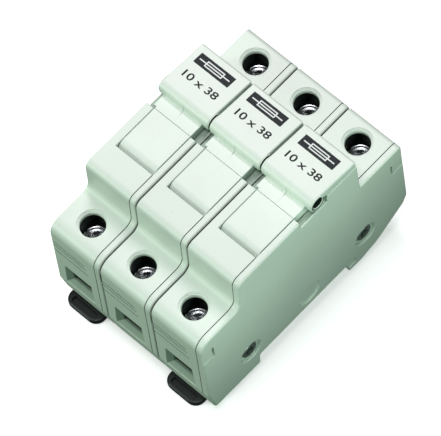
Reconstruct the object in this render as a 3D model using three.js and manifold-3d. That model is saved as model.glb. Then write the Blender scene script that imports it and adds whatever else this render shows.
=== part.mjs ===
// Three-pole DIN-rail holder for 10 x 38 mm cartridge fuses.
//
// Millimetres. X runs from pole to pole, Y along a pole from the lower to the upper terminal,
// Z away from the rail. The origin is on the face that seats on the rail, in the middle pole.
// Each pole is a tray-shaped shell closed by a flat cover on its +X side. A two-piece carrier
// hinges in the front opening and holds the fuse between two forked contacts. Each contact
// ends in a terminal whose screw turns in place and lifts a clamp cage against the strip.

import * as THREE from 'three';
import { mergeVertices } from 'three/addons/utils/BufferGeometryUtils.js';
import Module from 'manifold-3d';

const wasm = await Module();
wasm.setup();

// ---------------------------------------------------------------- driving dimensions

const POLES = 3;
const PITCH = 18; // one modular width
const HALF_WIDTH = 8.85; // half a pole, leaving 0.3 between neighbours
const SEAM_X = 6.8; // the shell's open side
const COVER_X = 6.9; // the cover's inner face
const INNER_X = -6.2; // inner face of the shell's closed side

const FRONT_Z = 45; // raised middle of the front
const TERMINAL_Z = 33; // stepped-down terminal ends
const FOOT_Z = -4;
const RAISED_LOW_Y = -23.2; // lower end of the raised middle
const RAISED_HIGH_Y = 21.8; // upper end of the raised middle
const SLOT_LOW_Y = -20.4; // rail slot, clip side
const SLOT_HIGH_Y = 16.1; // rail slot, hook side
const HOOK_NOSE_Y = 13.3;
const GRIP_Y = [0.2, 10.5]; // finger recess beside the carrier's grip
const GRIP_Z = 42.4;

const HINGE = { y: -10.2, z: 41.5, radius: 1.5, hole: 1.7 };
const OPENING_Y = [-13.95, 20.3]; // front opening that the carrier closes
const WELL_LOW_Y = -21.4;
const WELL_FLOOR_Z = 2.6;

const CARRIER_X = [-6.05, 6.65]; // outer faces of the two carrier halves
const NECK = { outerX: -7.05, y: [1, 9.5], z: [42.75, 45] }; // wider than the panel at -X
const PARTING_X = 0.3; // plane between the carrier halves, and the fuse's axis
const PARTING_GAP = 0.2;
const HANDLE_HALF = 8.65;
const HANDLE_NOSE = { y: 7.4, z: 45.5, radius: 2.8 };
const LINK_BORE = { y: 7.2, z: 45.7, radius: 1.7 };

const FUSE = { length: 38, capRadius: 5.15, capLength: 10, capWall: 0.3, tubeRadius: 4.75 };
const FUSE_TILT = THREE.MathUtils.degToRad(30);
const FUSE_TOP = { y: 15.8, z: 38 }; // centre of the upper cap's end face
const SADDLES = { along: [12.4, 25.6], thickness: 1.5, halfWidth: 6.2, height: 12 };

const SCREW_X = -0.5; // terminal axis, from the pole's middle
const TERMINAL_Y = 30.7;
const TERMINALS = [
  { end: 'lower', side: -1, compartment: [25.2, 37.4], wallY: 39.3, lip: 37.2 },
  { end: 'upper', side: 1, compartment: [24.8, 35.2], wallY: 37.4, lip: 35.1 },
];
const ACCESS_RADIUS = 3.5;
const ACCESS_RIM = 4;
const CHAMBER = { half: 4.3, top: 31.2 }; // square space below the front wall, around the head
const HEAD_Z = 21.4;
const HEAD_HEIGHT = 3.1;
const HEAD_RADIUS = 4; // wider than the access hole, which keeps the screw in
const DRIVER_SLOT = { halfWidth: 0.45, depth: 1.3, crossHalf: [0.55, 2.4] };
const SHANK_RADIUS = 2.5;
const SHANK_TIP_Z = 13.1;
const SHELF_Z = 20.2; // underside of the shelf that carries the screw head
const STRIP_Z = [11.6, 12.8];
const STRIP_HALF = 3.3;
const STRIP_SLOTS_Y = [[-25.5, -21.2], [20.1, 25]]; // where the strips leave the well
const SHEET = 0.8; // contact fork sheet
const LOWER_CONTACT = {
  stripY: [-35.5, -20.4], plateY: [-21.2, -20.4], plateZ: [11.6, 26],
  leafY: [-21.2, -12.5], leafZ: [13.5, 26],
};
const UPPER_CONTACT = {
  stripY: [19.2, 34.6], plateY: [19.2, 20], plateZ: [11.6, 33],
  leafY: [13.2, 20], leafZ: [29.5, 38],
};
const CAGE = { halfX: 4.8, halfY: 4.3, wall: 1.2, floor: [4.0, 5.3], nut: [13.3, 15.1] };
const LIP_Z = [4.0, 6.5]; // turned-up end of a cage's floor, behind the wire entry

const ENTRY_X = -0.75; // wire entry, centred on the shell's end wall
const ENTRY_Z = 9.8;
const ENTRY_OUTER = [10.1, 9.4];
const ENTRY_INNER = [6.8, 5.9];
const ENTRY_TAPER = 2.2;

const RIVETS = [{ y: -23.1, z: 6.5 }, { y: 20.7, z: 7.1 }];
const RIVET_RADIUS = 1.5;
const RIVET_HOLE = 1.7;
const RIVET_HEAD = 2.7;
const COUNTERBORE = 3.65;
const COUNTERBORE_DEPTH = 1.25;
const RECESS = { y: -1, z: 6.6, radius: 3.95, depth: 0.5 }; // blind recess in the cover

const CLIP_POLES = [1, 3];
const CLIP = { x: -1.3, halfWidth: 6.1, corner: 2.6, outerY: -41.2, innerY: -21.7, z: [-5.9, -4.2] };
const CLIP_SLOT = { halfWidth: 4.2, y: [-40.1, -38.4], floorZ: -5.1 }; // for a driver's tip
const TONGUE = { halfWidth: 2.9, y: [-27.5, -19.2], topZ: -1.4 };
const CHANNEL = { halfWidth: 3.2, y: [-35.8, -20.2], topZ: -1 };
const CLIP_SPRING = { y: [-35.6, -27.7], z: -2.7, radius: 1.05, wire: 0.25, coils: 6 };

// ---------------------------------------------------------------- materials

const finish = (color, roughness, metalness) =>
  new THREE.MeshStandardMaterial({ color, roughness, metalness });
const MINT = finish(0xdfeee2, 0.45, 0);
const MINT_CARRIER = finish(0xe2f0e4, 0.42, 0);
const BLACK = finish(0x1b1c20, 0.5, 0);
const STEEL = finish(0xb9bec2, 0.3, 0.9);
const BRASS = finish(0xc7b27c, 0.35, 0.9);
const TINNED = finish(0xc9cbcc, 0.3, 0.9);
const CERAMIC = finish(0xf1efe6, 0.6, 0);

// ---------------------------------------------------------------- shape helpers

// Maps a (y, z) outline drawn in a shape's own plane, extruded along its third axis, to YZ and +X.
const ACROSS = new THREE.Matrix4().makeBasis(
  new THREE.Vector3(0, 1, 0),
  new THREE.Vector3(0, 0, 1),
  new THREE.Vector3(1, 0, 0),
);

function solid(geometry) {
  const bare = geometry.clone();
  bare.deleteAttribute('normal');
  bare.deleteAttribute('uv');
  const merged = mergeVertices(bare, 1e-5);
  return new wasm.Manifold(new wasm.Mesh({
    numProp: 3,
    vertProperties: new Float32Array(merged.attributes.position.array),
    triVerts: new Uint32Array(merged.index.array),
  }));
}

function mesh(name, body, material) {
  const made = body.getMesh();
  const geometry = new THREE.BufferGeometry();
  geometry.setAttribute('position', new THREE.BufferAttribute(made.vertProperties, 3));
  geometry.setIndex(new THREE.BufferAttribute(made.triVerts, 1));
  geometry.computeVertexNormals();
  const result = new THREE.Mesh(geometry, material);
  result.name = name;
  return result;
}

function box([x0, x1], [y0, y1], [z0, z1]) {
  const geometry = new THREE.BoxGeometry(x1 - x0, y1 - y0, z1 - z0);
  geometry.translate((x0 + x1) / 2, (y0 + y1) / 2, (z0 + z1) / 2);
  return solid(geometry);
}

// A (y, z) outline extruded from x0 to x1.
function slab(shape, [x0, x1], curveSegments = 5) {
  const geometry = new THREE.ExtrudeGeometry(shape, {
    depth: x1 - x0, bevelEnabled: false, curveSegments,
  });
  geometry.applyMatrix4(ACROSS);
  geometry.translate(x0, 0, 0);
  return solid(geometry);
}

// A round bar along X.
function crossRod([x0, x1], y, z, radius, segments = 20) {
  const geometry = new THREE.CylinderGeometry(radius, radius, x1 - x0, segments);
  geometry.rotateZ(Math.PI / 2);
  geometry.translate((x0 + x1) / 2, y, z);
  return solid(geometry);
}

// A solid of revolution about a vertical axis, from [radius, z] points.
function turned(points, x, y, segments = 20) {
  const profile = points.map(([radius, z]) => new THREE.Vector2(radius, z));
  const geometry = new THREE.LatheGeometry(profile, segments);
  geometry.rotateX(Math.PI / 2);
  geometry.translate(x, y, 0);
  return solid(geometry);
}

function polygon(points) {
  return new THREE.Shape(points.map(([y, z]) => new THREE.Vector2(y, z)));
}

const union = (parts) => parts.reduce((sum, part) => sum.add(part));
const cut = (body, parts) => parts.reduce((rest, part) => rest.subtract(part), body);
const towards = (side, [a, b]) => (side < 0 ? [-b, -a] : [a, b]);

// ---------------------------------------------------------------- pole outline

// The side view of one pole, with the rail slot, the fixed hook and the finger recess.
function poleOutline() {
  const s = new THREE.Shape();
  s.moveTo(SLOT_LOW_Y, 0);
  s.lineTo(SLOT_LOW_Y - 0.4, FOOT_Z);
  s.lineTo(-37, FOOT_Z + 0.2);
  s.quadraticCurveTo(-37.6, FOOT_Z + 0.2, -37.8, FOOT_Z + 0.9);
  s.lineTo(-39.1, 3.4);
  s.quadraticCurveTo(-39.4, 4.6, -39.35, 5.8);
  s.lineTo(-38.4, 28.8);
  s.quadraticCurveTo(-38.4, TERMINAL_Z, -34.4, TERMINAL_Z);
  s.lineTo(RAISED_LOW_Y - 3.4, TERMINAL_Z);
  s.quadraticCurveTo(RAISED_LOW_Y - 0.4, TERMINAL_Z, RAISED_LOW_Y - 0.2, TERMINAL_Z + 2.8);
  s.lineTo(RAISED_LOW_Y + 0.2, FRONT_Z - 2.6);
  s.quadraticCurveTo(RAISED_LOW_Y + 0.4, FRONT_Z, RAISED_LOW_Y + 2.6, FRONT_Z);
  s.lineTo(GRIP_Y[0], FRONT_Z);
  s.lineTo(GRIP_Y[0] + 0.3, GRIP_Z);
  s.lineTo(GRIP_Y[1] - 0.5, GRIP_Z);
  s.lineTo(GRIP_Y[1], FRONT_Z);
  s.lineTo(RAISED_HIGH_Y - 0.4, FRONT_Z);
  s.lineTo(RAISED_HIGH_Y, FRONT_Z - 0.4);
  s.lineTo(RAISED_HIGH_Y, TERMINAL_Z);
  s.lineTo(35.7, TERMINAL_Z);
  s.quadraticCurveTo(37.2, TERMINAL_Z, 37.2, TERMINAL_Z - 1.5);
  s.lineTo(36.9, 6);
  s.lineTo(35.4, 3.4);
  s.lineTo(30, 0.4);
  s.lineTo(24.5, -2.6);
  s.lineTo(18, FOOT_Z);
  s.lineTo(HOOK_NOSE_Y + 0.3, FOOT_Z + 0.2);
  s.lineTo(HOOK_NOSE_Y, -1.7);
  s.lineTo(SLOT_HIGH_Y, -1.5);
  s.lineTo(SLOT_HIGH_Y, 0);
  s.closePath();
  return s;
}

// The hollow that holds the carrier, the fuse and both contact forks.
function wellOutline() {
  return polygon([
    [WELL_LOW_Y, 10.9], [WELL_LOW_Y, 40.5], [-19.4, 42.8], [OPENING_Y[0], 42.8],
    [OPENING_Y[0], FRONT_Z + 1], [OPENING_Y[1], FRONT_Z + 1], [OPENING_Y[1], 10.9],
    [18, 10.9], [18, WELL_FLOOR_Z], [-19, WELL_FLOOR_Z], [-19, 10.9],
  ]);
}

// ---------------------------------------------------------------- shell and cover

// Wire entry in an end wall: a square funnel and the straight hole behind it.
function wireEntry(side, wallY) {
  const halfDiagonal = Math.SQRT1_2;
  const funnel = new THREE.CylinderGeometry(halfDiagonal, halfDiagonal * 0.64, ENTRY_TAPER, 4);
  funnel.rotateY(Math.PI / 4);
  if (side < 0) funnel.rotateX(Math.PI);
  funnel.scale(ENTRY_OUTER[0], 1, ENTRY_OUTER[1]);
  funnel.translate(ENTRY_X, side * (wallY - ENTRY_TAPER / 2), ENTRY_Z);
  const hole = box(
    [ENTRY_X - ENTRY_INNER[0] / 2, ENTRY_X + ENTRY_INNER[0] / 2],
    towards(side, [wallY - 5, wallY + 1]),
    [ENTRY_Z - ENTRY_INNER[1] / 2, ENTRY_Z + ENTRY_INNER[1] / 2],
  );
  return solid(funnel).add(hole);
}

// Everything cut from a shell for one terminal.
function terminalCuts({ side, compartment, wallY }) {
  const y = side * TERMINAL_Y;
  const rim = TERMINAL_Z - 0.7;
  return [
    box([INNER_X, COVER_X], towards(side, compartment), [WELL_FLOOR_Z, SHELF_Z]),
    box(
      [SCREW_X - CHAMBER.half, COVER_X],
      [y - CHAMBER.half, y + CHAMBER.half],
      [HEAD_Z - 0.2, CHAMBER.top],
    ),
    turned([
      [0, CHAMBER.top - 1], [ACCESS_RADIUS, CHAMBER.top - 1], [ACCESS_RADIUS, rim],
      [ACCESS_RIM, TERMINAL_Z + 0.05], [0, TERMINAL_Z + 0.05],
    ], SCREW_X, y, 24),
    turned([
      [0, SHELF_Z - 1], [SHANK_RADIUS + 0.2, SHELF_Z - 1],
      [SHANK_RADIUS + 0.2, HEAD_Z], [0, HEAD_Z],
    ], SCREW_X, y),
    wireEntry(side, wallY),
  ];
}

function shell() {
  const clipChannel = box(
    [SCREW_X - CHANNEL.halfWidth, SCREW_X + CHANNEL.halfWidth],
    CHANNEL.y,
    [FOOT_Z - 1, CHANNEL.topZ],
  );
  const stripSlots = STRIP_SLOTS_Y.map((y) => box(
    [SCREW_X - STRIP_HALF - 0.3, COVER_X],
    y,
    [STRIP_Z[0] - 0.3, STRIP_Z[1] + 0.3],
  ));
  const rivetCuts = RIVETS.flatMap(({ y, z }) => [
    crossRod([-HALF_WIDTH - 1, SEAM_X + 1], y, z, RIVET_HOLE, 12),
    crossRod([-HALF_WIDTH - 1, -HALF_WIDTH + COUNTERBORE_DEPTH], y, z, COUNTERBORE),
  ]);
  return cut(slab(poleOutline(), [-HALF_WIDTH, SEAM_X]), [
    slab(wellOutline(), [INNER_X, COVER_X]),
    ...TERMINALS.flatMap(terminalCuts),
    ...stripSlots,
    ...rivetCuts,
    crossRod([-8, INNER_X + 0.1], HINGE.y, HINGE.z, HINGE.hole, 16),
    clipChannel,
  ]);
}

// The flat cover, with a shallow round recess in its outer face.
function cover() {
  const outer = HALF_WIDTH + 1;
  const rivetCuts = RIVETS.flatMap(({ y, z }) => [
    crossRod([COVER_X - 1, outer], y, z, RIVET_HOLE, 12),
    crossRod([HALF_WIDTH - COUNTERBORE_DEPTH, outer], y, z, COUNTERBORE),
  ]);
  return cut(slab(poleOutline(), [COVER_X, HALF_WIDTH]), [
    ...rivetCuts,
    crossRod([COVER_X - 1, HALF_WIDTH - 0.6], HINGE.y, HINGE.z, HINGE.hole, 16),
    crossRod([HALF_WIDTH - RECESS.depth, outer], RECESS.y, RECESS.z, RECESS.radius),
  ]);
}

// ---------------------------------------------------------------- carrier

// Full-width handle: a slab over the front with a rounded nose above the finger recess.
function handleOutline() {
  const { y, z, radius } = HANDLE_NOSE;
  const s = new THREE.Shape();
  s.moveTo(21.6, 45.35);
  s.lineTo(21.6, 46.1);
  s.lineTo(21.1, 46.8);
  s.lineTo(y, z + radius);
  s.absarc(y, z, radius, Math.PI / 2, Math.PI * 1.5, false);
  s.lineTo(9.7, z - radius);
  s.lineTo(9.7, 45.35);
  s.closePath();
  return s;
}

// Front plate from the hinge to the handle, with a round end about the hinge axis.
function frontPlateOutline() {
  const reach = 3.5;
  const s = new THREE.Shape();
  s.moveTo(HINGE.y, HINGE.z + reach);
  s.absarc(HINGE.y, HINGE.z, reach, Math.PI / 2, Math.PI * 2, false);
  s.lineTo(HINGE.y + reach, 42.9);
  s.lineTo(0.3, 42.9);
  s.lineTo(0.3, 42.2);
  s.lineTo(8, 42.2);
  s.lineTo(9, 42.9);
  s.lineTo(19.6, 42.9);
  s.lineTo(19.6, 45.7);
  s.lineTo(5, 45.7);
  s.lineTo(4.6, 44.9);
  s.lineTo(0.4, 44.9);
  s.lineTo(0.3, FRONT_Z);
  s.closePath();
  return s;
}

// Side cheek that holds the fuse tube between its caps.
function cheekOutline() {
  return polygon([[-12.4, 43.5], [-10.7, 29.1], [-5.3, 19.8], [7.6, 28], [11, 40], [11, 43.5]]);
}

// A bar along the fuse, between two distances from its lower end.
function alongFuse(radius, [from, to], segments = 20) {
  const geometry = new THREE.CylinderGeometry(radius, radius, to - from, segments);
  geometry.translate(0, (from + to) / 2 - FUSE.length, 0);
  geometry.rotateX(FUSE_TILT);
  geometry.translate(PARTING_X, FUSE_TOP.y, FUSE_TOP.z);
  return solid(geometry);
}

// A web across the carrier that straddles the fuse tube.
function saddle(side, along) {
  const { thickness, halfWidth, height } = SADDLES;
  const start = PARTING_GAP / 2;
  const geometry = new THREE.BoxGeometry(halfWidth - start, thickness, height);
  geometry.translate(side * (start + halfWidth) / 2, along - FUSE.length, height / 2);
  geometry.rotateX(FUSE_TILT);
  geometry.translate(PARTING_X, FUSE_TOP.y, FUSE_TOP.z);
  return solid(geometry);
}

function carrierHalf(side) {
  const inner = PARTING_X + side * PARTING_GAP / 2;
  const outer = side < 0 ? CARRIER_X[0] : CARRIER_X[1];
  const cheekInner = PARTING_X + side * (FUSE.capRadius + 0.05);
  const span = (a, b) => [Math.min(a, b), Math.max(a, b)];
  const underFront = slab(
    polygon([[-12.2, 43.5], [-10.7, 26], [8, 26], [10.8, 43.5]]),
    span(inner, outer),
  );
  const neck = box(span(side < 0 ? NECK.outerX : outer, inner), NECK.y, NECK.z);
  const body = union([
    slab(frontPlateOutline(), span(inner, outer), 6),
    neck,
    slab(handleOutline(), span(inner, side * HANDLE_HALF), 6),
    slab(cheekOutline(), span(cheekInner, outer)),
    ...SADDLES.along.map((along) => saddle(side, along).intersect(underFront)),
    crossRod(span(outer - side, outer + side * 1.3), HINGE.y, HINGE.z, HINGE.radius, 16),
  ]);
  return cut(body, [
    alongFuse(FUSE.capRadius + 0.05, [-2, FUSE.length + 2]),
    crossRod([-10, 10], LINK_BORE.y, LINK_BORE.z, LINK_BORE.radius, 16),
  ]);
}

// ---------------------------------------------------------------- fuse

function fuseTube() {
  return alongFuse(FUSE.tubeRadius, [0.5, FUSE.length - 0.5]);
}

function fuseCap(upper) {
  const range = upper ? [FUSE.length - FUSE.capLength, FUSE.length] : [0, FUSE.capLength];
  const hollow = upper
    ? [range[0] - 1, FUSE.length - 0.4]
    : [0.4, FUSE.capLength + 1];
  return alongFuse(FUSE.capRadius, range).subtract(
    alongFuse(FUSE.capRadius - FUSE.capWall, hollow),
  );
}

// ---------------------------------------------------------------- terminals and contacts

// Forked contact: terminal strip, upright plate and two side leaves that grip a fuse cap.
function contact({ stripY, plateY, plateZ, leafY, leafZ }) {
  const reach = FUSE.capRadius + 0.2 + SHEET;
  const leaf = (side) => box(
    side < 0
      ? [PARTING_X - reach, PARTING_X - reach + SHEET]
      : [PARTING_X + reach - SHEET, PARTING_X + reach],
    leafY,
    leafZ,
  );
  return union([
    box([SCREW_X - STRIP_HALF, SCREW_X + STRIP_HALF], stripY, STRIP_Z),
    box([PARTING_X - reach, PARTING_X + reach], plateY, plateZ),
    leaf(-1),
    leaf(1),
  ]);
}

function terminalScrew(side) {
  const top = HEAD_Z + HEAD_HEIGHT;
  const body = turned([
    [0, SHANK_TIP_Z], [SHANK_RADIUS - 0.5, SHANK_TIP_Z], [SHANK_RADIUS, SHANK_TIP_Z + 0.5],
    [SHANK_RADIUS, HEAD_Z], [HEAD_RADIUS, HEAD_Z], [HEAD_RADIUS, top - 0.5],
    [HEAD_RADIUS - 0.6, top], [0, top],
  ], SCREW_X, side * TERMINAL_Y, 18);
  const slot = (half) => box(
    [SCREW_X - half[0], SCREW_X + half[0]],
    [side * TERMINAL_Y - half[1], side * TERMINAL_Y + half[1]],
    [top - DRIVER_SLOT.depth, top + 1],
  );
  return cut(body, [slot([HEAD_RADIUS + 1, DRIVER_SLOT.halfWidth]), slot(DRIVER_SLOT.crossHalf)]);
}

function clampCage({ side, lip }) {
  const y = side * TERMINAL_Y;
  const frame = box(
    [SCREW_X - CAGE.halfX, SCREW_X + CAGE.halfX],
    [y - CAGE.halfY, y + CAGE.halfY],
    [CAGE.floor[0], CAGE.nut[1]],
  );
  const window = box(
    [SCREW_X - CAGE.halfX + CAGE.wall, SCREW_X + CAGE.halfX - CAGE.wall],
    [y - CAGE.halfY - 1, y + CAGE.halfY + 1],
    [CAGE.floor[1], CAGE.nut[0]],
  );
  const thread = turned([
    [0, CAGE.nut[0] - 1], [SHANK_RADIUS + 0.1, CAGE.nut[0] - 1],
    [SHANK_RADIUS + 0.1, CAGE.nut[1] + 1], [0, CAGE.nut[1] + 1],
  ], SCREW_X, y, 24);
  const turnedUp = box(
    [SCREW_X - CAGE.halfX + CAGE.wall, SCREW_X + CAGE.halfX - CAGE.wall],
    towards(side, [TERMINAL_Y + CAGE.halfY - 0.5, lip]),
    LIP_Z,
  );
  return cut(frame, [window, thread]).add(turnedUp);
}

// ---------------------------------------------------------------- rail clip and tie rivets

// Slider under the foot: a finger tab outside, and a tongue whose nose catches the rail.
function railClip() {
  const { halfWidth, corner, outerY, innerY, z } = CLIP;
  const plan = new THREE.Shape();
  plan.moveTo(-halfWidth, innerY);
  plan.lineTo(-halfWidth, outerY + corner);
  plan.quadraticCurveTo(-halfWidth, outerY, -halfWidth + corner, outerY);
  plan.lineTo(halfWidth - corner, outerY);
  plan.quadraticCurveTo(halfWidth, outerY, halfWidth, outerY + corner);
  plan.lineTo(halfWidth, innerY);
  plan.closePath();
  const plate = new THREE.ExtrudeGeometry(plan, {
    depth: z[1] - z[0], bevelEnabled: false, curveSegments: 5,
  });
  plate.translate(CLIP.x, 0, z[0]);
  const noseChamfer = slab(
    polygon([[-20.3, z[0] - 1], [TONGUE.y[1] + 1, z[0] - 1], [TONGUE.y[1] + 1, -2.2]]),
    [SCREW_X - 10, SCREW_X + 10],
  );
  const tongue = box(
    [SCREW_X - TONGUE.halfWidth, SCREW_X + TONGUE.halfWidth],
    TONGUE.y,
    [z[0] + 0.4, TONGUE.topZ],
  );
  const driverSlot = box(
    [CLIP.x - CLIP_SLOT.halfWidth, CLIP.x + CLIP_SLOT.halfWidth],
    CLIP_SLOT.y,
    [CLIP_SLOT.floorZ, z[1] + 1],
  );
  return cut(solid(plate).add(tongue), [noseChamfer, driverSlot]);
}

// Compression spring between the tongue and the channel's outer end.
function clipSpring() {
  const { y, z, radius, wire, coils } = CLIP_SPRING;
  class Coil extends THREE.Curve {
    getPoint(t, target = new THREE.Vector3()) {
      const turn = t * coils * Math.PI * 2;
      const along = y[0] + wire + t * (y[1] - y[0] - 2 * wire);
      return target.set(
        SCREW_X + radius * Math.cos(turn),
        along,
        z + radius * Math.sin(turn),
      );
    }
  }
  const section = new THREE.Shape().absarc(0, 0, wire, 0, Math.PI * 2, false);
  return solid(new THREE.ExtrudeGeometry(section, {
    steps: coils * 8, extrudePath: new Coil(), curveSegments: 3, bevelEnabled: false,
  }));
}

// One rivet through all poles, with a formed head at each end.
function tieRivet({ y, z }) {
  const end = (POLES * PITCH) / 2 - (PITCH / 2 - HALF_WIDTH);
  const seat = end - COUNTERBORE_DEPTH + 0.1;
  return union([
    crossRod([-seat, seat], y, z, RIVET_RADIUS, 12),
    crossRod([-seat - 0.8, -seat], y, z, RIVET_HEAD, 16),
    crossRod([seat, seat + 0.8], y, z, RIVET_HEAD, 16),
  ]);
}

// ---------------------------------------------------------------- assembly

function pole(number) {
  const group = new THREE.Group();
  const name = (part) => `pole${number}_${part}`;
  const add = (part, body, material) => group.add(mesh(name(part), body, material));
  add('shell', shell(), MINT);
  add('side_cover', cover(), MINT);
  add('carrier_left', carrierHalf(-1), MINT_CARRIER);
  add('carrier_right', carrierHalf(1), MINT_CARRIER);
  add('fuse_tube', fuseTube(), CERAMIC);
  add('fuse_cap_lower', fuseCap(false), TINNED);
  add('fuse_cap_upper', fuseCap(true), TINNED);
  add('lower_contact', contact(LOWER_CONTACT), BRASS);
  add('upper_contact', contact(UPPER_CONTACT), BRASS);
  for (const terminal of TERMINALS) {
    add(`${terminal.end}_screw`, terminalScrew(terminal.side), STEEL);
    add(`${terminal.end}_cage`, clampCage(terminal), STEEL);
  }
  if (CLIP_POLES.includes(number)) {
    add('rail_clip', railClip(), BLACK);
    add('clip_spring', clipSpring(), STEEL);
  }
  group.position.x = (number - (POLES + 1) / 2) * PITCH;
  return group;
}

const holder = new THREE.Group();
for (let number = 1; number <= POLES; number += 1) holder.add(pole(number));
RIVETS.forEach((place, index) => {
  holder.add(mesh(index === 0 ? 'tie_rivet_lower' : 'tie_rivet_upper', tieRivet(place), STEEL));
});

export default holder;
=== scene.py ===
"""Looks for the three-pole cartridge fuse holder, drawn in millimetres in one pole's frame."""

import math

import bmesh
import bpy
from mathutils import Matrix, Vector


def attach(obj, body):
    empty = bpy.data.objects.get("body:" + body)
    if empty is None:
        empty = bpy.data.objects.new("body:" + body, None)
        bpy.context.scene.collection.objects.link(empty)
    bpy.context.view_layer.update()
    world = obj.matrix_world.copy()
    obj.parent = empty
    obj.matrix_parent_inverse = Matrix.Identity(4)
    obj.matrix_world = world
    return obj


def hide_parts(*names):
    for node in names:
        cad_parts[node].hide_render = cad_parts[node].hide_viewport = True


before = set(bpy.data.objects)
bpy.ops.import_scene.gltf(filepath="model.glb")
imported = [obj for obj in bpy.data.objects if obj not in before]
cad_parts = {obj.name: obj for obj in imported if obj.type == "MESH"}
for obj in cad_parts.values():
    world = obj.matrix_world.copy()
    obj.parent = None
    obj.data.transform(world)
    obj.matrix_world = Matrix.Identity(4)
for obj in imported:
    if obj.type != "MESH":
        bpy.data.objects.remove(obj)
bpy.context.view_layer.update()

MM = 0.001
POLE_X = {1: -18.0, 2: 0.0, 3: 18.0}

# Across a pole: its half width, the shell from its left face to the seam, the cover from there on,
# the inside of the left wall, the middle of what lies behind each opening, and the plane where the
# two halves of the carrier meet.
HALF = 8.85
LEFT_FACE = 0.12 - HALF
SEAM = 6.72
COVER = 6.93
INNER = -6.2
SCREW_X = -0.5
ENTRY_X = -0.75
CLIP_X = -1.3
PARTING = 0.3

# Seen from the side, as (y, z): hinge pin, upper end of the fuse, bore for a linking bar, rivets
# and the highest line of the handle.
HINGE = (-10.2, 41.5)
FUSE_TOP = (15.8, 38.0)
LINK_BORE = (7.22, 45.8)
RIVETS = ((-23.1, 6.5), (20.7, 7.1))
HANDLE_NOSE = (4.62, 48.5)

# The fuse leans from the upper contact down to the lower one. The handle's top slopes down.
TILT = math.radians(30)
FUSE_LENGTH = 38.0
SLOPE = math.atan2(1.65, 16.98)

# The lower end of a pole is side -1, the upper end side 1. Distances are from the pole's middle, and
# ENTRY_Z and LINES are heights on the end walls.
TERMINAL_Y = 30.7
ENTRY_Z = 10.5
LINES = (24.9, 23.2, 20.7)
END_WALL = {-1: 39.25, 1: 37.0}
COMPARTMENT = {-1: (25.2, 37.4), 1: (24.8, 35.2)}
LINE_WALL = {-1: (38.65, 38.71, 38.8), 1: (37.11, 37.09, 37.06)}

# An outline's corner never gets sharper than MIN_RADIUS. One above ROUND_ABOVE is drawn as an arc,
# in steps of about ARC_STEP degrees.
MIN_RADIUS = 0.015
ROUND_ABOVE = 0.05
ARC_STEP = 11
SHARP_ANGLE = math.radians(32)


# ------------------------------------------------------------------ materials

def node(tree, kind, **values):
    made = tree.nodes.new(kind)
    for key, value in values.items():
        if key in made.inputs:
            made.inputs[key].default_value = value
        else:
            setattr(made, key, value)
    return made


def material(name, color, roughness, metallic=0.0):
    mat = bpy.data.materials.new(name)
    mat.use_nodes = True
    shader = mat.node_tree.nodes["Principled BSDF"]
    shader.inputs["Base Color"].default_value = (*color, 1)
    shader.inputs["Roughness"].default_value = roughness
    shader.inputs["Metallic"].default_value = metallic
    return mat, mat.node_tree, shader


def spread(tree, source, low, high, within=(0.0, 1.0)):
    """A value that runs from low to high while the source runs through the given span."""
    made = node(tree, "ShaderNodeMapRange")
    made.inputs["From Min"].default_value = within[0]
    made.inputs["From Max"].default_value = within[1]
    made.inputs["To Min"].default_value = low
    made.inputs["To Max"].default_value = high
    tree.links.new(source.outputs["Fac"], made.inputs["Value"])
    return made.outputs["Result"]


def tinted(tree, color, amount, shader):
    """The base colour, multiplied by an amount that varies over the surface."""
    base = node(tree, "ShaderNodeMix", data_type="RGBA", blend_type="MULTIPLY")
    base.inputs["Factor"].default_value = 1.0
    base.inputs["A"].default_value = (*color, 1)
    tree.links.new(amount, base.inputs["B"])
    tree.links.new(base.outputs["Result"], shader.inputs["Base Color"])


def bumped(tree, height, strength, shader):
    bump = node(tree, "ShaderNodeBump", Strength=strength, Distance=0.00002)
    tree.links.new(height.outputs["Fac"], bump.inputs["Height"])
    tree.links.new(bump.outputs["Normal"], shader.inputs["Normal"])


def plastic(name, color, roughness, grain=1.0):
    """Moulded plastic: fine spark-eroded grain, slight colour drift and sparse darker specks."""
    mat, tree, shader = material(name, color, roughness)
    link = tree.links.new
    coord = node(tree, "ShaderNodeTexCoord")
    drift = node(tree, "ShaderNodeTexNoise", Scale=60.0, Detail=2.0)
    fine = node(tree, "ShaderNodeTexNoise", Scale=5200.0, Detail=2.0)
    speck = node(tree, "ShaderNodeTexNoise", Scale=1500.0, Detail=1.0)
    for texture in (drift, fine, speck):
        link(coord.outputs["Object"], texture.inputs["Vector"])
    shade = node(tree, "ShaderNodeMath", operation="MULTIPLY")
    link(spread(tree, drift, 0.96, 1.02, (0.3, 0.7)), shade.inputs[0])
    link(spread(tree, speck, 1.0, 0.93, (0.70, 0.76)), shade.inputs[1])
    tinted(tree, color, shade.outputs["Value"], shader)
    link(spread(tree, fine, roughness - 0.05, roughness + 0.07), shader.inputs["Roughness"])
    bumped(tree, fine, 0.12 * grain, shader)
    return mat


def metal(name, color, roughness, brushed=(1, 1, 1)):
    """Plated or stamped metal: fine directional marks and slightly uneven gloss."""
    mat, tree, shader = material(name, color, roughness, 1.0)
    link = tree.links.new
    coord = node(tree, "ShaderNodeTexCoord")
    stretch = node(tree, "ShaderNodeMapping")
    stretch.inputs["Scale"].default_value = brushed
    link(coord.outputs["Object"], stretch.inputs["Vector"])
    marks = node(tree, "ShaderNodeTexNoise", Scale=2400.0, Detail=3.0)
    patches = node(tree, "ShaderNodeTexNoise", Scale=250.0, Detail=3.0)
    link(stretch.outputs["Vector"], marks.inputs["Vector"])
    link(coord.outputs["Object"], patches.inputs["Vector"])
    gloss = spread(tree, patches, max(roughness - 0.1, 0.05), roughness + 0.14)
    link(gloss, shader.inputs["Roughness"])
    tinted(tree, color, spread(tree, patches, 0.8, 1.1), shader)
    bumped(tree, marks, 0.15, shader)
    return mat


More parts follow.
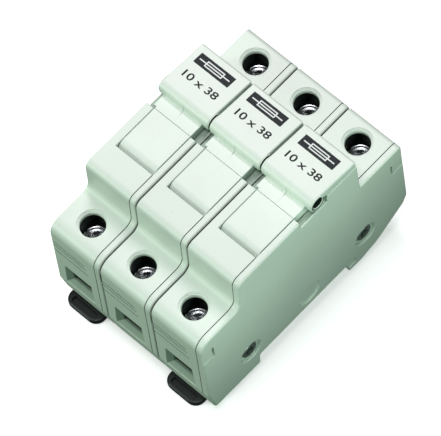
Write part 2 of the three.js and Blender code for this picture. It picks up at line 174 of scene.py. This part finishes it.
BODY = plastic("moulded_body", (0.69, 0.79, 0.70), 0.42)
CARRIER = plastic("moulded_carrier", (0.70, 0.80, 0.71), 0.38)
# Painted shade: a near-black plastic for hollows, bores and the gaps between poles, and a darker green
# one for entry funnels, grooves and finger recesses.
SHADE = plastic("moulded_body_painted_shade", (0.035, 0.055, 0.045), 0.5)
RECESS_SHADE = plastic("moulded_body_painted_recess_shade", (0.30, 0.40, 0.32), 0.5)
BLACK = plastic("black_moulding", (0.010, 0.011, 0.013), 0.38)
INK = plastic("printed_ink", (0.012, 0.018, 0.02), 0.75, grain=0.5)
WHITE_INK = plastic("printed_white", (0.80, 0.86, 0.82), 0.5, grain=0.5)
STEEL = metal("zinc_plate", (0.62, 0.66, 0.66), 0.24)
BRASS = metal("stamped_brass", (0.80, 0.66, 0.36), 0.3, (1, 8, 1))
TIN = metal("tinned_copper", (0.78, 0.78, 0.77), 0.24)
CERAMIC = plastic("glazed_ceramic", (0.86, 0.85, 0.81), 0.3)


# ------------------------------------------------------------------ shape helpers
# Bodies are meshes in millimetres. An outline is a list of corners (u, v, radius, share): (y, z) for
# a body drawn out along X, (x, y) along Z and (x, z) along Y. Share is how far the edge that leaves
# the corner takes part when the outline is drawn inward.

def outline(corners, inset=0.0):
    """The points along an outline drawn inward by the inset, with its corners rounded."""
    count = len(corners)
    flat = [Vector(corner[:2]) for corner in corners]
    area = sum(flat[i - 1].cross(flat[i]) for i in range(count))
    turn = 1 if area > 0 else -1
    edges = []
    for i, corner in enumerate(corners):
        along = (flat[(i + 1) % count] - flat[i]).normalized()
        inward = Vector((-along.y, along.x)) * turn
        share = corner[3] if len(corner) > 3 else 1
        edges.append((flat[i] + inward * inset * share, along, inward))
    points = []
    for i, corner in enumerate(corners):
        (before, d0, n0), (after, d1, n1) = edges[i - 1], edges[i]
        meet = before + d0 * (after - before).cross(d1) / d0.cross(d1)
        convex = d0.cross(d1) * turn > 0
        side = 1 if convex else -1
        drawn = corner[2] if len(corner) > 2 else 0
        radius = max(drawn - side * inset, MIN_RADIUS)
        angle = d0.angle(d1)
        steps = max(1, round(math.degrees(angle) / ARC_STEP)) if drawn > ROUND_ABOVE else 1
        reach = radius * math.tan(angle / 2)
        start = meet - d0 * reach
        centre = start + n0 * radius * side
        for k in range(steps + 1):
            spin = Matrix.Rotation(turn * side * angle * k / steps, 2)
            points.append(tuple(centre + spin @ (start - centre)))
    return points


def loft(rings):
    """A closed body through rings of points, with flat ends."""
    count = len(rings[0])
    points = [point for ring in rings for point in ring]
    faces = [
        (a + i, a + (i + 1) % count, a + count + (i + 1) % count, a + count + i)
        for a in range(0, len(points) - count, count)
        for i in range(count)
    ]
    faces += [tuple(range(count)), tuple(range(len(points) - count, len(points)))]
    made = bpy.data.meshes.new("body")
    made.from_pydata(points, [], faces)
    work = bmesh.new()
    work.from_mesh(made)
    bmesh.ops.recalc_face_normals(work, faces=work.faces)
    work.to_mesh(made)
    work.free()
    return made


PLACE = {
    "X": lambda u, v, a: (a, u, v),
    "Y": lambda u, v, a: (u, a, v),
    "Z": lambda u, v, a: (u, v, a),
}


def extrude(corners, start, stop, round0=0.0, round1=0.0, axis="X", steps=4):
    """An outline drawn out along an axis, with rounded edges at either end."""
    rings = []
    for place, way, radius in ((start, 1, round0), (stop, -1, round1)):
        levels = [(place, 0.0)]
        if radius:
            angles = [math.pi / 2 * k / steps for k in range(steps + 1)]
            levels = [
                (place + way * radius * (1 - math.cos(t)), radius * (1 - math.sin(t)))
                for t in angles
            ]
        for level, inset in levels[::way]:
            rings.append([PLACE[axis](u, v, level) for u, v in outline(corners, inset)])
    return loft(rings)


def both(side, *values):
    """The values on one side of the middle, lowest first."""
    return tuple(sorted(side * value for value in values))


def rectangle(u, v, radius=0.0):
    return [(u[0], v[0], radius), (u[1], v[0], radius), (u[1], v[1], radius), (u[0], v[1], radius)]


def box(x, y, z, radius=0.0, edge=0.0):
    return extrude(rectangle(x, y, radius), z[0], z[1], edge, edge, "Z")


def turned(profile, centre, axis="Z", segments=48):
    """A body turned about an axis through centre (u, v), from (radius, height) points."""
    rings = []
    for radius, height in profile:
        rings.append([
            PLACE[axis](
                centre[0] + radius * math.cos(math.tau * k / segments),
                centre[1] + radius * math.sin(math.tau * k / segments),
                height,
            )
            for k in range(segments)
        ])
    return loft(rings)


def shaped(body, cuts=(), joins=(), keep=()):
    """The body with the joins added, only what lies inside each keep left, and the cuts removed."""
    work = bpy.data.objects.new("work", body)
    made = [work]
    for operation, tools in (("UNION", joins), ("INTERSECT", keep), ("DIFFERENCE", cuts)):
        for tool in tools:
            helper = bpy.data.objects.new("tool", tool)
            made.append(helper)
            step = work.modifiers.new("shape", "BOOLEAN")
            step.operation = operation
            step.solver = "MANIFOLD"
            step.object = helper
    for item in made:
        bpy.context.scene.collection.objects.link(item)
    graph = bpy.context.evaluated_depsgraph_get()
    result = bpy.data.meshes.new_from_object(work.evaluated_get(graph))
    for item in made:
        bpy.data.objects.remove(item)
    return result


def moved(body, matrix):
    copy = body.copy()
    copy.transform(matrix)
    return copy


def piece(name, body, look, rides, nodes=(), pole=2, inside=None):
    """A finished piece in the scene, with each face in the finish that inside() says: its own, or a
    painted shade.
    """
    data = body.copy()
    data.materials.clear()
    data.materials.append(look)
    # Faces that inside() picks take the near-black or darker green painted shade in place of the
    # piece's own finish.
    if inside:
        data.materials.append(SHADE)
        data.materials.append(RECESS_SHADE)
        for face in data.polygons:
            face.material_index = int(inside(face.center, pole))
    data.transform(Matrix.Translation((POLE_X[pole], 0, 0)))
    data.transform(Matrix.Scale(MM, 4))
    data.shade_smooth()
    data.set_sharp_from_angle(angle=SHARP_ANGLE)
    data.name = name
    made = bpy.data.objects.new(name, data)
    bpy.context.scene.collection.objects.link(made)
    normals = made.modifiers.new("normals", "WEIGHTED_NORMAL")
    normals.keep_sharp = True
    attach(made, rides)
    if nodes:
        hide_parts(*nodes)


# ------------------------------------------------------------------ shell and cover

POLE = [
    (-20.4, 0, 0.3, 0.3), (-20.8, -4, 0.5), (-37.75, -3.8, 0.9), (-39.4, 4.9, 2.5), (-38.35, 33, 3.9),
    (-23.6, 33, 2.8), (-22.85, 45, 2.4), (0.2, 45, 0.3), (0.5, 42.4, 0.4), (10, 42.4, 0.4),
    (10.5, 45, 0.3), (21.8, 45, 0.4), (21.8, 33, 0.3), (37.2, 33, 1.5), (36.9, 6, 1),
    (35.4, 3.4, 1.5), (30, 0.4, 3), (24.5, -2.6, 3), (18, -4, 2), (13.6, -3.8, 0.3, 0.3),
    (13.3, -1.7, 0.3, 0.3), (16.1, -1.5, 0.3, 0.3), (16.1, 0, 0.3, 1),
]
WELL = [
    (-21.4, 10.9), (-21.4, 40.5), (-19.4, 42.8), (-13.95, 42.8), (-13.95, 44.85), (-14.15, 45.1),
    (-14.15, 46), (20.5, 46), (20.5, 45.1), (20.3, 44.85), (20.3, 10.9), (18, 10.9), (18, 2.6),
    (-19, 2.6), (-19, 10.9),
]


def upright(x, z, y):
    """The four corners of a rectangle that stands across the pole at y."""
    return [(u, y, v) for u, v, _ in rectangle(x, z)]


def wire_entry(side, wall):
    """Rectangular funnel through an end wall, opening into the terminal compartment."""
    rings = []
    for width, height, deep in ((10.4, 9.7, -1.0), (10.1, 9.4, 0), (6.8, 6.2, 1.2), (6.8, 6.2, 5)):
        x = (ENTRY_X - width / 2, ENTRY_X + width / 2)
        z = (ENTRY_Z - height / 2, ENTRY_Z + height / 2)
        rings.append(upright(x, z, side * (wall - deep)))
    return loft(rings)


def terminal_cuts(side):
    """The hollows of one terminal: compartment, screw's shaft and hole with a stepped rim, entry."""
    y = side * TERMINAL_Y
    rim = turned([
        (3.48, 30.2), (3.48, 31.95), (3.6, 32.05), (3.62, 32.4), (3.95, 32.45), (3.97, 32.72),
        (4.22, 32.76), (4.25, 33.1), (4.25, 34),
    ], (SCREW_X, y), segments=64)
    return [
        box((INNER, 8), both(side, *COMPARTMENT[side]), (2.6, 20.2)),
        box((SCREW_X - 4.3, 8), (y - 4.3, y + 4.3), (21.2, 31.2)),
        rim,
        turned([(2.7, 19), (2.7, 22)], (SCREW_X, y)),
        wire_entry(side, END_WALL[side]),
    ]


def counterbore(y, z, face, way):
    """Round pocket in a side face at x = face, cut towards way, with a bevelled rim."""
    profile = [(1.7, face + way * 3), (1.7, face + way * 1.25), (3.65, face + way * 1.25)]
    profile += [(3.65, face + way * 0.2), (3.9, face - way * 0.05), (3.9, face - way)]
    return turned(profile, (y, z), "X", 56)


def end_lines(side):
    """Three fine moulded grooves across an end wall."""
    return [
        box((-9.5, stop), both(side, wall - 0.5, wall + 1), (z - 0.28, z + 0.28))
        for z, wall, stop in zip(LINES, LINE_WALL[side], (2.9, 3.2, 3.7))
    ]


def shell():
    """Tray-shaped moulding, open on its +X side, where the cover closes it."""
    opening_edge = loft([
        [(-6.2, y, 44.8), (-6.42, y, 45.1), (-6.0, y, 45.1)] for y in (-13.95, 20.3)
    ])
    clip_channel = box((SCREW_X - 3.2, SCREW_X + 3.2), (-35.8, -20.2), (-5, -1))
    through = [turned([(1.7, -7), (1.7, 8)], spot, "X", 32) for spot in RIVETS]
    bores = [counterbore(*spot, -HALF, 1) for spot in RIVETS]
    slots = [
        box((-4.1, 8), (-25.5, -21.2), (11.3, 13.1)),
        box((-4.1, 8), (20.1, 25), (11.3, 13.1)),
    ]
    hinge = turned([(1.7, -8), (1.7, -6)], HINGE, "X", 32)
    return shaped(
        extrude(POLE, LEFT_FACE, SEAM, 0.12, 0.05),
        [extrude(WELL, INNER, 8), opening_edge, clip_channel, hinge]
        + through + bores + slots + end_lines(-1) + end_lines(1)
        + terminal_cuts(-1) + terminal_cuts(1),
    )


def tab_pocket(side, inner, outer):
    """Snap pocket in the cover's outer face: a deep slit, then a shallow step to the end wall."""
    return loft([
        upright((HALF - depth, HALF + 1), (22.9, 27.9), side * y)
        for y, depth in ((inner, 1.5), (inner + 0.6, 1.5), (inner + 0.65, 0.1), (outer, 0.4))
    ])


def cover():
    """Flat moulding that closes the shell, with the rivets' counterbores and two snap pockets."""
    recess = turned(
        [(3.95, HALF - 0.5), (3.95, HALF - 0.1), (4.1, HALF + 0.05), (4.1, HALF + 1)],
        (-0.93, 6.12), "X", 64,
    )
    hinge = turned([(1.7, COVER - 1), (1.7, HALF - 0.6)], HINGE, "X", 32)
    through = [turned([(1.7, COVER - 1), (1.7, HALF + 1)], spot, "X", 32) for spot in RIVETS]
    bores = [counterbore(*spot, HALF, -1) for spot in RIVETS]
    return shaped(
        extrude(POLE, COVER, HALF, 0.05, 0.7, steps=6),
        [recess, hinge, tab_pocket(-1, 34.3, 40), tab_pocket(1, 32.4, 39)] + through + bores,
    )


def in_finger_recess(centre):
    return 0.2 < centre.y < 10.5 and 42.3 < centre.z < 44.6


# The next four say which finish the face at a centre takes: 0 the piece's own, 1 a near-black painted
# shade, 2 a darker green painted shade.

def in_shell(centre, pole):
    """Painted shade in the terminal compartments and between poles, then lighter painted shade in the
    entry funnels, grooves and finger recess.
    """
    hidden = centre.x > SEAM - 0.01 or (centre.x < LEFT_FACE + 0.01 and pole > 1)
    beside = abs(abs(centre.y) - TERMINAL_Y) < 6.8 and INNER - 0.1 < centre.x < 6.5
    wall = 37.3 if centre.y < 0 else 35.1
    if hidden or (beside and 2.5 < centre.z < 31.3 and abs(centre.y) < wall):
        return 1
    funnel = abs(centre.x - ENTRY_X) < 5.2 and abs(centre.z - ENTRY_Z) < 4.8
    funnel = funnel and wall <= abs(centre.y) < wall + 1.55
    groove = any(abs(centre.z - z) < 0.29 for z in LINES) and centre.x < 3.7
    groove = groove and abs(centre.y) > 36.4
    return 2 if funnel or groove or in_finger_recess(centre) else 0


def in_cover(centre, pole):
    """Painted shade on the outer face, where the next pole stands against it, then lighter painted
    shade in the finger recess.
    """
    if centre.x > HALF - 0.01 and pole < 3:
        return 1
    return 2 if in_finger_recess(centre) else 0


def in_link_bore(centre, pole):
    """Painted shade in the bore across a handle, for a bar that links all the poles."""
    return 1 if math.dist((centre.y, centre.z), LINK_BORE) < 1.72 else 0


def in_rivet(centre, pole):
    """Painted shade in the hollow ends of a tie rivet."""
    return 1 if min(math.dist((centre.y, centre.z), spot) for spot in RIVETS) < 1.2 else 0


# ------------------------------------------------------------------ carrier

PANEL = [
    (-13.7, 45, 2.6), (-13.7, 38, 3.4), (-6.7, 38, 3.4), (-6.7, 42.9, 0.3), (19.5, 42.9, 0.3),
    (19.5, 46.95, 0.1), (4.66, 48.3, 2.25), (4.66, 45, 1.0),
]
NECK = [
    (0.95, 45, 0.3), (0.95, 42.75, 0.1), (9.5, 42.75, 0.1), (9.5, 45.5, 0.1), (4.9, 45.5, 0.05),
    (4.9, 45, 0.3),
]
HANDLE = [
    (21.6, 45.35, 0.25), (21.6, 46.85, 0.7), (*HANDLE_NOSE, 2.3), (HANDLE_NOSE[0], 42.7, 2.6),
    (9.7, 42.7, 0.3), (9.7, 45.35, 0.2),
]
CHEEK = [(-12.4, 43.5), (-10.7, 29.1, 1.5), (-5.3, 19.8, 1.5), (7.6, 28, 1.5), (11, 40), (11, 43.5)]
UNDER = [(-12.2, 43.5), (-10.7, 26), (8, 26), (10.8, 43.5)]


def along_fuse():
    """From a frame whose Z runs up the fuse's axis from its lower end, to the pole's frame."""
    lift = Matrix.Rotation(TILT, 4, "X") @ Matrix.Rotation(math.radians(-90), 4, "X")
    return (
        Matrix.Translation((PARTING, FUSE_TOP[0], FUSE_TOP[1])) @ lift
        @ Matrix.Translation((0, 0, -FUSE_LENGTH))
    )


FUSE = along_fuse()


def carrier_half(side):
    """One moulded half: side -1 is left, 1 is right."""
    inner = PARTING + side * 0.005
    panel = 6.05 if side < 0 else 6.65
    neck = 7.05 if side < 0 else 6.65

    def half(corners, reach, edge, steps=4):
        low, high = sorted((inner, side * reach))
        sizes = (edge, 0.0) if side < 0 else (0.0, edge)
        return extrude(corners, low, high, *sizes, steps=steps)

    cheek_inner = abs(PARTING + side * 5.2)
    low, high = both(side, cheek_inner, panel)
    plan = extrude(
        [(-8.7, -1, 0.2), (8.7, -1, 0.2), (8.7, 21.65, 0.9), (-8.7, 21.65, 0.9)], 40, 50, axis="Z"
    )
    handle = shaped(half(HANDLE, 8.65, 0.35), keep=[plan])
    webs = []
    for along in (12.4, 25.6):
        web = box(sorted((inner, side * 6.2)), (-12, 0), (along - 0.75, along + 0.75), 0.2, 0.2)
        webs.append(shaped(moved(web, FUSE), keep=[half(UNDER, panel, 0)]))
    pin = turned(
        [(1.5, side * (panel - 1)), (1.5, side * (panel + 1.05)), (1.25, side * (panel + 1.3))],
        HINGE, "X", 40,
    )
    boss = turned([(2.45, side * 8.5), (2.45, side * 8.72), (2.3, side * 8.8)], LINK_BORE, "X", 48)
    body = shaped(
        half(PANEL, panel, 0.2),
        joins=[half(NECK, neck, 0.3), handle, extrude(CHEEK, low, high, 0.1, 0.1), *webs, pin, boss],
    )
    fuse_bore = moved(turned([(5.2, -2), (5.2, 40)], (0, 0), segments=56), FUSE)
    link_bore = turned(
        [(1.95, -10), (1.95, -8.78), (1.7, -8.6), (1.7, 8.6), (1.95, 8.78), (1.95, 10)],
        LINK_BORE, "X",
    )
    joint = box((-8, 8), (0.2, 0.38), (44.6, 46))
    parting = box((PARTING - 0.05, PARTING + 0.05), (3.2, 5.0), (43.6, 47.3))
    return shaped(body, [fuse_bore, link_bore, joint, parting])


# ------------------------------------------------------------------ fuse, terminals and contacts

def fuse_tube():
    profile = [(4.5, 0.5), (4.75, 0.75), (4.75, 37.25), (4.5, 37.5)]
    return moved(turned(profile, (0, 0), segments=64), FUSE)


def fuse_cap(upper):
    """Drawn cap with a rounded rim, a rolled groove near its mouth and a dimpled end."""
    profile = [
        (1.6, 0.12), (1.9, 0.0), (4.55, 0.0), (4.9, 0.1), (5.1, 0.32), (5.15, 0.6), (5.15, 7.6),
        (5.05, 7.75), (4.98, 7.95), (5.05, 8.15), (5.15, 8.3), (5.15, 9.8), (5.08, 10.0), (4.85, 10.0),
        (4.85, 0.45),
    ]
    body = turned(profile, (0, 0), segments=64)
    if upper:
        flip = Matrix.Translation((0, 0, FUSE_LENGTH)) @ Matrix.Rotation(math.pi, 4, "X")
        body = moved(body, flip)
    return moved(body, FUSE)


def screw(side):
    """Terminal screw with a combined slot and cross in a dished head."""
    y = side * TERMINAL_Y
    pitch = 0.8
    thread = []
    for turn in range(9):
        z = 13.5 + turn * pitch
        thread += [(2.06, z), (2.5, z + 0.32), (2.5, z + 0.42), (2.06, z + 0.74)]
    profile = [
        (1.7, 13.1), *thread, (2.3, 21.1), (2.3, 21.4), (3.8, 21.4), (3.98, 21.6), (3.98, 23.95),
        (3.92, 24.25), (3.75, 24.43), (3.55, 24.48), (3.35, 24.4), (3.2, 24.15), (3.1, 23.8),
        (2.9, 23.72), (1.4, 24.1),
    ]
    body = turned(profile, (SCREW_X, y), segments=64)
    slot = box((SCREW_X - 4.4, SCREW_X + 4.4), (y - 0.45, y + 0.45), (23.2, 25))
    cross = [
        box((SCREW_X - a, SCREW_X + a), (y - b, y + b), (22.2, 25))
        for a, b in ((0.55, 2.4), (2.4, 0.55))
    ]
    centre = turned([(0.4, 22.0), (1.2, 23.4), (1.35, 25)], (SCREW_X, y), segments=32)
    return shaped(body, [slot, *cross, centre])


def cage(side):
    """Clamp cage with a hole for the screw, a ridged floor and an end turned up behind the entry."""
    y = side * TERMINAL_Y
    outer = rectangle((SCREW_X - 4.8, SCREW_X + 4.8), (4.0, 15.1), 0.9)
    inner = rectangle((SCREW_X - 3.6, SCREW_X + 3.6), (5.3, 13.3), 0.5)
    frame_body = extrude(outer, y - 4.3, y + 4.3, 0.2, 0.2, "Y")
    window = extrude(inner, y - 5, y + 5, axis="Y")
    thread = turned([(2.6, 12), (2.6, 14.7), (2.9, 15.2), (2.9, 16)], (SCREW_X, y), segments=40)
    ridges = [
        box((SCREW_X - 3.4, SCREW_X + 3.4), (y + k * 1.3 - 0.2, y + k * 1.3 + 0.2), (5.12, 6))
        for k in range(-3, 4)
    ]
    low, high = SCREW_X - 3.5, SCREW_X + 3.5
    if side < 0:
        turned_up = extrude([
            (-34.6, 4.1), (-37.2, 4.1), (-37.2, 6.3, 0.2), (-36.3, 7.7, 0.15), (-35.9, 7.7, 0.15),
            (-35.8, 5.6, 0.3), (-34.6, 5.6),
        ], low, high, 0.1, 0.1)
    else:
        turned_up = box((low, high), (34.6, 35.1), (4.1, 6.2), 0.1, 0.1)
    return shaped(shaped(frame_body, [window, thread, *ridges]), joins=[turned_up])


def contact(lower):
    """Forked contact in folded sheet: terminal strip, upright plate and two leaves."""
    if lower:
        far, bend, back = -35.5, -20.4, -21.2
        plate_y, plate_z = (back, bend), (11.7, 26)
        root, free, leaf_z = back, -12.5, (13.5, 26)
    else:
        far, bend, back = 34.6, 19.2, 20
        plate_y, plate_z = (bend, back), (11.7, 33)
        root, free, leaf_z = back, 13.2, (29.5, 38)
    strip = [
        (far, 11.6, 0.1), (bend, 11.6, 1.0), (bend, 13.6), (back, 13.6), (back, 12.8, 0.3),
        (far, 12.8, 0.1),
    ]
    reach = 6.15
    sheet = 0.8
    plate = extrude(
        rectangle((PARTING - reach, PARTING + reach), plate_z, 0.6), *plate_y, 0.12, 0.12, "Y"
    )
    leaf = [
        (root, leaf_z[0], 0.5), (free, leaf_z[0], 1.6), (free, leaf_z[1], 2.2), (root, leaf_z[1], 0.5),
    ]
    leaves = [
        extrude(leaf, PARTING + low, PARTING + low + sheet, 0.15, 0.15)
        for low in (-reach, reach - sheet)
    ]
    return shaped(
        extrude(strip, SCREW_X - 3.3, SCREW_X + 3.3, 0.12, 0.12), joins=[plate, *leaves]
    )


# ------------------------------------------------------------------ rail clip and rivets

def rail_clip():
    """Flat slide with a slot for a screwdriver and a bevelled tongue that grips the rail."""
    plan = [
        (CLIP_X - 6.1, -21.7, 0.4), (CLIP_X - 6.1, -41.2, 2.9), (CLIP_X + 6.1, -41.2, 2.9),
        (CLIP_X + 6.1, -21.7, 0.4),
    ]
    plate = extrude(plan, -5.9, -4.2, 0.4, 0.6, "Z", 5)
    tongue = extrude([
        (-27.5, -5.5, 0.1), (-20.3, -5.5, 0.1), (-19.2, -3.4, 0.4), (-19.2, -1.4, 0.3),
        (-27.5, -1.4, 0.3),
    ], SCREW_X - 2.9, SCREW_X + 2.9, 0.15, 0.15)
    opening = rectangle((CLIP_X - 4.2, CLIP_X + 4.2), (-40.1, -38.4), 0.8)
    slot = loft([
        [(x, y, z) for x, y in outline(opening, -grow)]
        for z, grow in ((-5.1, 0.0), (-4.45, 0.0), (-4.3, 0.08), (-4.1, 0.25))
    ])
    return shaped(plate, [slot], [tongue])


def tie_rivet(spot):
    """Tubular rivet with a rolled head at each end."""
    head = [
        (1.5, 25.6), (2.3, 25.62), (2.7, 25.85), (2.7, 26.1), (2.4, 26.4), (1.9, 26.5), (1.35, 26.35),
        (1.05, 25.9), (1.0, 24.5),
    ]
    return turned([(radius, -x) for radius, x in head[::-1]] + head, spot, "X", 48)


# ------------------------------------------------------------------ printed marks

def on_handle(x, y):
    """From a flat frame to the sloping top of the handle."""
    z = HANDLE_NOSE[1] - (y - HANDLE_NOSE[0]) * math.tan(SLOPE)
    return Matrix.Translation((x, y, z)) @ Matrix.Rotation(-SLOPE, 4, "X")


def plate_mark():
    """The dark plate the fuse symbol is printed on."""
    return box((-6.0, 6.0), (-1.73, 1.73), (-0.05, 0.03), 0.12)


def fuse_symbol():
    """The standard circuit symbol for a fuse: a box with a line through it."""
    ring = shaped(
        box((-3.0, 3.0), (-0.95, 0.95), (-0.02, 0.05), 0.05),
        [box((-2.66, 2.66), (-0.61, 0.61), (-1, 1), 0.03)],
    )
    return shaped(ring, joins=[box((-5.2, 5.2), (-0.17, 0.17), (-0.02, 0.05), 0.02)])


def numerals(text, height, width):
    """Flat printed numerals, height and width in millimetres, centred on the origin."""
    curve = bpy.data.curves.new("numerals", "FONT")
    curve.body = text
    curve.extrude = 0.01
    curve.offset = 0.018
    curve.resolution_u = 6
    work = bpy.data.objects.new("numerals", curve)
    bpy.context.scene.collection.objects.link(work)
    graph = bpy.context.evaluated_depsgraph_get()
    made = bpy.data.meshes.new_from_object(work.evaluated_get(graph))
    bpy.data.objects.remove(work)
    weld = bmesh.new()
    weld.from_mesh(made)
    bmesh.ops.remove_doubles(weld, verts=weld.verts, dist=1e-5)
    weld.to_mesh(made)
    weld.free()
    xs = [vertex.co.x for vertex in made.vertices]
    ys = [vertex.co.y for vertex in made.vertices]
    made.transform(Matrix.Translation((-(max(xs) + min(xs)) / 2, -(max(ys) + min(ys)) / 2, 0)))
    made.transform(Matrix.Diagonal((width / (max(xs) - min(xs)), height / (max(ys) - min(ys)), 1, 1)))
    return made


# ------------------------------------------------------------------ assembly

SHELL, COVERING = shell(), cover()
LEFT, RIGHT = carrier_half(-1), carrier_half(1)
TUBE, CAP_LOW, CAP_HIGH = fuse_tube(), fuse_cap(False), fuse_cap(True)
FORK_LOW, FORK_HIGH = contact(True), contact(False)
SCREWS = {"lower": screw(-1), "upper": screw(1)}
CAGES = {"lower": cage(-1), "upper": cage(1)}
CLIP = rail_clip()
MARK, SYMBOL, SIZE_TEXT = plate_mark(), fuse_symbol(), numerals("10 x 38", 2.3, 11.7)
LABEL_AT = {1: (-0.7, 17.55), 2: (-0.7, 18.1), 3: (-0.25, 17.6)}


def add(pole, part, body, look, rides, inside=None):
    """The finished piece that stands in for one part of a pole."""
    node_name = f"pole{pole}_{part}"
    piece(f"{node_name}_visual", body, look, rides, [node_name], pole, inside)


for pole in POLE_X:
    swing = f"pole{pole}_carrier"
    add(pole, "shell", SHELL, BODY, "holder", in_shell)
    add(pole, "side_cover", COVERING, BODY, "holder", in_cover)
    add(pole, "carrier_left", LEFT, CARRIER, swing, in_link_bore)
    add(pole, "carrier_right", RIGHT, CARRIER, swing, in_link_bore)
    add(pole, "fuse_tube", TUBE, CERAMIC, swing)
    add(pole, "fuse_cap_lower", CAP_LOW, TIN, swing)
    add(pole, "fuse_cap_upper", CAP_HIGH, TIN, swing)
    add(pole, "lower_contact", FORK_LOW, BRASS, "holder")
    add(pole, "upper_contact", FORK_HIGH, BRASS, "holder")
    for end in ("lower", "upper"):
        add(pole, f"{end}_screw", SCREWS[end], STEEL, f"pole{pole}_{end}_screw_body")
        add(pole, f"{end}_cage", CAGES[end], STEEL, f"pole{pole}_{end}_cage_body")
    if pole != 2:
        add(pole, "rail_clip", CLIP, BLACK, f"pole{pole}_clip")
    x, y = LABEL_AT[pole]
    for mark, body, look, slot, place in (
        ("label_plate", MARK, INK, "black_plastic", (x, y)),
        ("fuse_symbol", SYMBOL, WHITE_INK, "carrier_plastic", (x, y)),
        ("size_numerals", SIZE_TEXT, INK, "black_plastic", (-0.35, y - 5.6)),
    ):
        piece(f"pole{pole}_{mark}", moved(body, on_handle(*place)), look, swing, pole=pole)

for end, spot in zip(("lower", "upper"), RIVETS):
    piece(f"tie_rivet_{end}_visual", tie_rivet(spot), STEEL, "holder",
          [f"tie_rivet_{end}"], inside=in_rivet)

# The clip springs keep their CAD bodies and take only a finish.
for name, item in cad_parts.items():
    if "spring" in name:
        item.data.materials.clear()
        item.data.materials.append(STEEL)


# ------------------------------------------------------------------ floor, light and camera

FLOOR_Z = -0.006
floor_mesh = bpy.data.meshes.new("floor")
floor_mesh.from_pydata(
    [(-3, -3, FLOOR_Z), (3, -3, FLOOR_Z), (3, 3, FLOOR_Z), (-3, 3, FLOOR_Z)], [], [(0, 1, 2, 3)]
)
floor = bpy.data.objects.new("floor", floor_mesh)
bpy.context.scene.collection.objects.link(floor)
floor_look, _, floor_shader = material("pale_floor", (0.93, 0.93, 0.93), 0.9)
floor_mesh.materials.append(floor_look)
floor_shader.inputs["Emission Color"].default_value = (1, 1, 1, 1)
floor_shader.inputs["Emission Strength"].default_value = 0.45
floor.visible_diffuse = False
floor.visible_glossy = False

bpy.context.scene.view_settings.view_transform = "Standard"
world = bpy.data.worlds.new("studio")
bpy.context.scene.world = world
world.use_nodes = True
world.node_tree.nodes["Background"].inputs["Color"].default_value = (0.72, 1.0, 0.82, 1)
world.node_tree.nodes["Background"].inputs["Strength"].default_value = 0.085


def area_light(name, place, aim, size, power, tint=(1, 1, 1)):
    data = bpy.data.lights.new(name, "AREA")
    data.shape = "DISK"
    data.size = size
    data.energy = power
    data.color = tint
    lamp = bpy.data.objects.new(name, data)
    lamp.location = place
    direction = Vector(aim) - Vector(place)
    lamp.rotation_euler = direction.to_track_quat("-Z", "Y").to_euler()
    lamp.visible_camera = False
    bpy.context.scene.collection.objects.link(lamp)


MIDDLE = (0, 0, 0.02)
SIDE_TINT = (0.80, 1, 0.88)
area_light("key", (-0.30, 0.30, 0.70), MIDDLE, 0.30, 3.0, (1, 0.93, 0.99))
area_light("overhead", (0.0, -0.12, 0.95), MIDDLE, 0.40, 3.8, (1, 0.94, 0.99))
area_light("front_fill", (-0.40, -0.70, 0.28), MIDDLE, 0.3, 2.9, (0.80, 1, 0.83))
area_light("side_near", (0.080, -0.036, 0.046), (0.027, -0.036, 0.040), 0.04, 0.017, SIDE_TINT)
area_light("side_far", (0.080, 0.030, 0.056), (0.027, 0.030, 0.050), 0.04, 0.017, SIDE_TINT)

# The photograph's view of the holder, in metres.
camera_data = bpy.data.cameras.new("camera")
camera_data.lens = 415.6
camera_data.sensor_width = 36
camera_data.clip_end = 20
camera = bpy.data.objects.new("camera", camera_data)
eye = Vector((0.48327, -0.34989, 1.19284))
right = Vector((0.72576, 0.68088, -0.09832))
down = Vector((0.58155, -0.68358, -0.44105))
forward = Vector((-0.36751, 0.26292, -0.89208))
camera.matrix_world = Matrix.Translation(eye) @ Matrix((
    (right.x, -down.x, -forward.x, 0),
    (right.y, -down.y, -forward.y, 0),
    (right.z, -down.z, -forward.z, 0),
    (0, 0, 0, 1),
))
bpy.context.scene.collection.objects.link(camera)
bpy.context.scene.camera = camera
